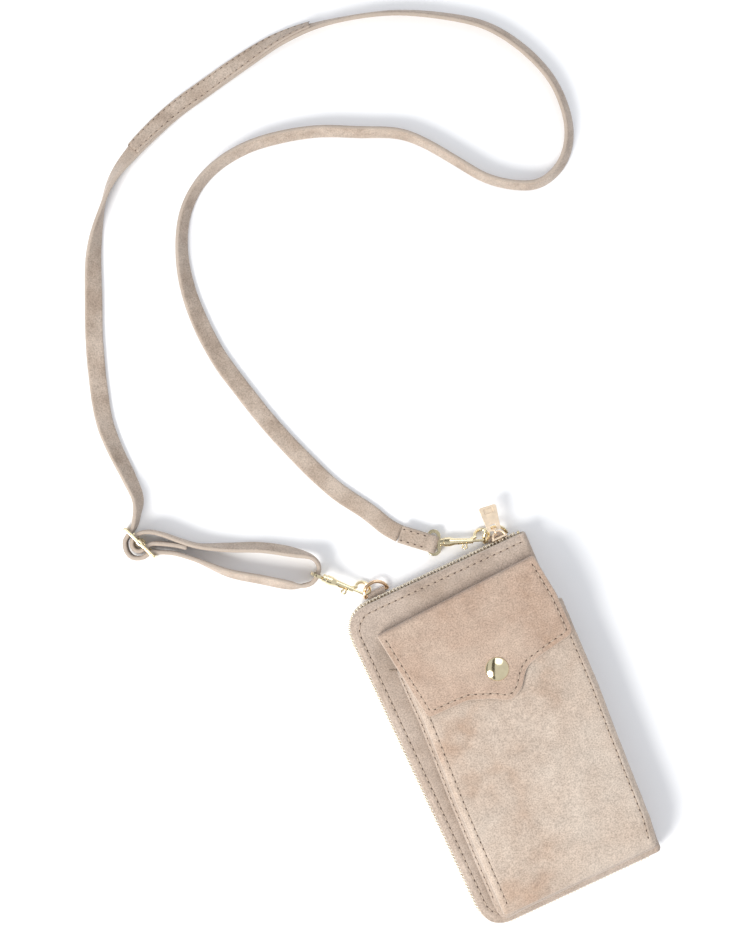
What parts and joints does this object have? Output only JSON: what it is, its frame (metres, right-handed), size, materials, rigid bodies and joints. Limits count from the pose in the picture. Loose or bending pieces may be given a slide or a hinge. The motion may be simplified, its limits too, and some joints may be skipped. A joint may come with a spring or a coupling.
{
  "type": "wristlet wallet",
  "caption": "Zip-around suede phone wallet with a bellows front pocket under a snap flap, and a long adjustable strap clipped to two rings by swivel bolt hooks.",
  "frame": {"origin": "centre of the back cover's outer face, on the ground when the wallet lies on its back", "axes": "+Z out of the front cover, +Y towards the ring edge where the strap clips on, +X towards the spine"},
  "size_m": [0.3322, 0.5063, 0.0294],
  "materials": {
    "suede": "matt brushed suede, taupe beige",
    "suede_inner": "matt suede, slightly darker",
    "lining": "plain woven lining",
    "zip_tape": "woven zip tape",
    "zip_metal": "light gold teeth",
    "light_gold": "polished light gold plating",
    "rose_gold": "polished rose gold plating",
    "spring_steel": "plain spring wire",
    "tab_suede": "matt suede, folded and stitched",
    "strap_suede": "matt suede both sides, stitched edges"
  },
  "bodies": {
    "back_half": {"back_panel": "suede", "back_lining": "lining", "card_slot_1": "suede_inner", "card_slot_2": "suede_inner", "card_slot_3": "suede_inner", "card_slot_4": "suede_inner", "back_zip_tape": "zip_tape", "back_zip_teeth": "zip_metal", "zip_stop_top": "zip_metal", "zip_stop_bottom": "zip_metal", "ring_tab_left": "tab_suede", "ring_tab_right": "tab_suede", "strap_long": "strap_suede", "strap_short": "strap_suede", "strap_end_fold": "strap_suede", "buckle_frame": "light_gold", "buckle_bar": "light_gold", "hook_1_eye": "light_gold", "hook_2_eye": "light_gold"},
    "spine": {"spine_strip": "suede", "spine_lining": "lining"},
    "front_half": {"front_panel": "suede", "front_lining": "lining", "slip_pocket": "suede_inner", "front_zip_tape": "zip_tape", "front_zip_teeth": "zip_metal", "pocket_front": "suede", "pocket_gusset_left": "suede_inner", "pocket_gusset_right": "suede_inner", "pocket_gusset_bottom": "suede_inner", "snap_stud": "light_gold", "snap_post": "light_gold", "flap_riser": "suede"},
    "flap_body": {"flap": "suede", "flap_lining": "lining", "snap_cap": "light_gold", "snap_socket": "light_gold"},
    "zip_slider_body": {"zip_slider": "light_gold", "zip_bail": "light_gold"},
    "zip_pull": {"pull_link": "light_gold", "pull_tab": "light_gold"},
    "ring_left_body": {"ring_left": "rose_gold"},
    "ring_right_body": {"ring_right": "light_gold"},
    "hook_1": {"hook_1_body": "light_gold", "hook_1_spring": "spring_steel"},
    "hook_2": {"hook_2_body": "light_gold", "hook_2_spring": "spring_steel"},
    "bolt_1": {"hook_1_bolt": "light_gold"},
    "bolt_2": {"hook_2_bolt": "light_gold"}
  },
  "joints": [
    {"name": "spine_fold", "type": "hinge", "parent": "back_half", "child": "spine", "pos_m": [0.056, 0.0965, 0.0009], "axis": [0.03, 0.9995, 0], "range_deg": [0, 90]},
    {"name": "cover_fold", "type": "hinge", "parent": "spine", "child": "front_half", "pos_m": [0.056, 0.0965, 0.0151], "axis": [0.03, 0.9995, 0], "range_deg": [0, 90]},
    {"name": "flap_lift", "type": "hinge", "parent": "front_half", "child": "flap_body", "pos_m": [0.054, 0.083, 0.0235], "axis": [-0.9992, -0.0412, 0], "range_deg": [0, 160]},
    {"name": "zip_slide", "type": "slide", "parent": "back_half", "child": "zip_slider_body", "axis": [-1, 0, 0], "range_m": [0, 0.078]},
    {"name": "pull_swing", "type": "hinge", "parent": "zip_slider_body", "child": "zip_pull", "pos_m": [0.041, 0.10261, 0.0106], "axis": [1, 0, 0], "range_deg": [0, 80]},
    {"name": "ring_left_flop", "type": "hinge", "parent": "back_half", "child": "ring_left_body", "pos_m": [-0.0335, 0.0998, 0.0024], "axis": [1, 0, 0], "range_deg": [-5, 5]},
    {"name": "ring_right_flop", "type": "hinge", "parent": "back_half", "child": "ring_right_body", "pos_m": [0.0403, 0.0998, 0.0024], "axis": [1, 0, 0], "range_deg": [-5, 5]},
    {"name": "hook_1_swivel", "type": "hinge", "parent": "back_half", "child": "hook_1", "pos_m": [-0.0519, 0.115, 0.0076], "axis": [0.6803, -0.7296, -0.0698], "range_deg": [-7, 7]},
    {"name": "hook_2_swivel", "type": "hinge", "parent": "back_half", "child": "hook_2", "pos_m": [0.0179, 0.1075, 0.0046], "axis": [0.9235, -0.3731, 0.0889], "range_deg": [-7, 7]},
    {"name": "bolt_1_slide", "type": "slide", "parent": "hook_1", "child": "bolt_1", "axis": [0.6803, -0.7296, -0.0698], "range_m": [-0.0026, 0], "stiffness_N_per_m": 300, "springref_m": 0.002, "deforming": ["hook_1_spring"]},
    {"name": "bolt_2_slide", "type": "slide", "parent": "hook_2", "child": "bolt_2", "axis": [0.9235, -0.3731, 0.0889], "range_m": [-0.0026, 0], "stiffness_N_per_m": 300, "springref_m": 0.002, "deforming": ["hook_2_spring"]}
  ],
  "couplings": [
    {"joint": "cover_fold", "follows": "spine_fold", "ratio": 1}
  ]
}
